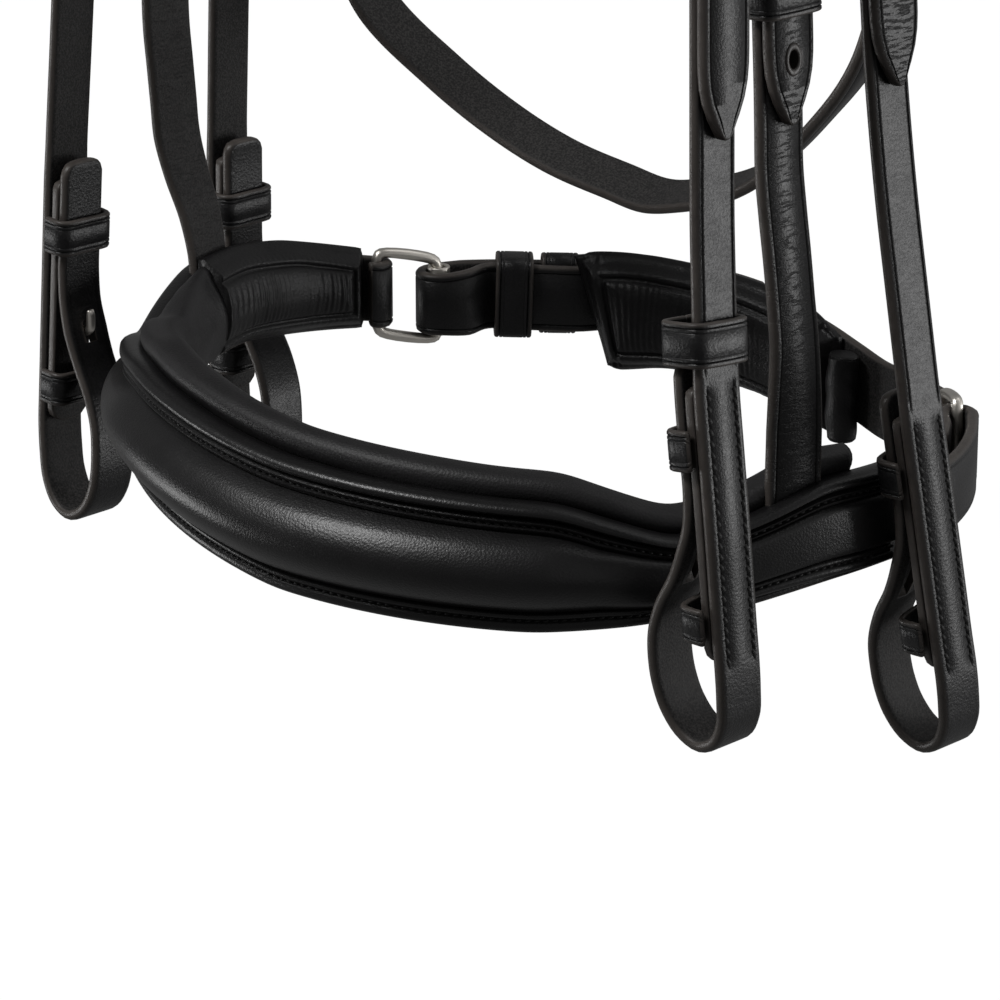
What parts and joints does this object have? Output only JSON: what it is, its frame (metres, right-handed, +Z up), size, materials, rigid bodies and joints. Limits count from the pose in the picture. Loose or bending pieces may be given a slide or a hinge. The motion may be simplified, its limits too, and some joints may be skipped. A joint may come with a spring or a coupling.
{
  "type": "bridle",
  "caption": "Padded leather headgear for a horse: swelled crank noseband, double cheek straps with hook-stud bit loops, throatlash and browband, no bit fitted.",
  "frame": {"origin": "middle of the crown pad's flat underside, where the bridle hangs on the poll", "axes": "+Z up along the cheeks, the horse's face towards -Y, the horse's near (left) side +X"},
  "size_m": [0.2567, 0.2152, 0.5769],
  "materials": {
    "leather": "black satin strap leather",
    "padding": "soft black leather over foam",
    "nickel": "brushed nickel plate"
  },
  "bodies": {
    "bridle": {"browband": "leather", "crank_keeper": "leather", "crank_strap": "leather", "crown_leather": "leather", "crown_pad": "padding", "jaw_pad": "padding", "jaw_strap": "leather", "near_bradoon_buckle": "nickel", "near_bradoon_cheek": "leather", "near_bradoon_lining": "leather", "near_bradoon_lower_keeper": "leather", "near_bradoon_point_keeper": "leather", "near_bradoon_stud": "nickel", "near_bradoon_upper_keeper": "leather", "near_brow_loop": "leather", "near_cheek_buckle": "nickel", "near_cheek_lining": "leather", "near_cheek_lower_keeper": "leather", "near_cheek_point": "leather", "near_cheek_point_keeper": "leather", "near_cheek_strap": "leather", "near_cheek_stud": "nickel", "near_cheek_upper_keeper": "leather", "near_crank_frame": "nickel", "near_hanger_buckle": "nickel", "near_hanger_strap": "leather", "nose_lining": "padding", "noseband_headstrap": "leather", "noseband_strap": "leather", "nosepiece": "leather", "off_arm_pad": "padding", "off_bradoon_cheek": "leather", "off_bradoon_lining": "leather", "off_bradoon_lower_keeper": "leather", "off_bradoon_stud": "nickel", "off_bradoon_upper_keeper": "leather", "off_brow_loop": "leather", "off_cheek_buckle": "nickel", "off_cheek_lining": "leather", "off_cheek_lower_keeper": "leather", "off_cheek_point": "leather", "off_cheek_point_keeper": "leather", "off_cheek_strap": "leather", "off_cheek_stud": "nickel", "off_cheek_upper_keeper": "leather", "off_crank_frame": "nickel", "throatlash": "leather"},
    "crank_runner_body": {"crank_runner": "leather"},
    "near_bradoon_tongue_body": {"near_bradoon_tongue": "nickel"},
    "near_cheek_runner_body": {"near_cheek_runner": "leather"},
    "near_cheek_tongue_body": {"near_cheek_tongue": "nickel"},
    "near_hanger_point_keeper_body": {"near_hanger_point_keeper": "leather"},
    "near_hanger_tongue_body": {"near_hanger_tongue": "nickel"},
    "off_cheek_tongue_body": {"off_cheek_tongue": "nickel"},
    "off_roller_body": {"off_roller": "nickel"}
  },
  "joints": [
    {"name": "near_cheek_tongue_swing", "type": "hinge", "parent": "bridle", "child": "near_cheek_tongue_body", "pos_m": [0.10227, -0.05507, -0.33719], "axis": [0, 1, 0], "range_deg": [0, 4]},
    {"name": "off_cheek_tongue_swing", "type": "hinge", "parent": "bridle", "child": "off_cheek_tongue_body", "pos_m": [-0.10235, -0.05296, -0.33728], "axis": [0, -1, 0], "range_deg": [0, 4]},
    {"name": "near_bradoon_tongue_swing", "type": "hinge", "parent": "bridle", "child": "near_bradoon_tongue_body", "pos_m": [0.10393, -0.00452, -0.33725], "axis": [0, 1, 0], "range_deg": [0, 4]},
    {"name": "near_hanger_tongue_swing", "type": "hinge", "parent": "bridle", "child": "near_hanger_tongue_body", "pos_m": [0.09555, -0.02848, -0.33717], "axis": [0, 1, 0], "range_deg": [0, 4]},
    {"name": "near_cheek_runner_slide", "type": "slide", "parent": "bridle", "child": "near_cheek_runner_body", "axis": [-0.1442, 0.0759, 0.9866], "range_m": [0, 0.018]},
    {"name": "near_hanger_runner_slide", "type": "slide", "parent": "bridle", "child": "near_hanger_point_keeper_body", "axis": [-0.0748, -0.0083, 0.9972], "range_m": [-0.008, 0.003]},
    {"name": "crank_runner_slide", "type": "slide", "parent": "bridle", "child": "crank_runner_body", "axis": [-0.6498, -0.7594, 0.0323], "range_m": [-0.001, 0.002]},
    {"name": "roller_spin", "type": "hinge", "parent": "bridle", "child": "off_roller_body", "pos_m": [-0.08693, 0.04974, -0.50306], "axis": [0, 0, 1], "continuous": true}
  ]
}
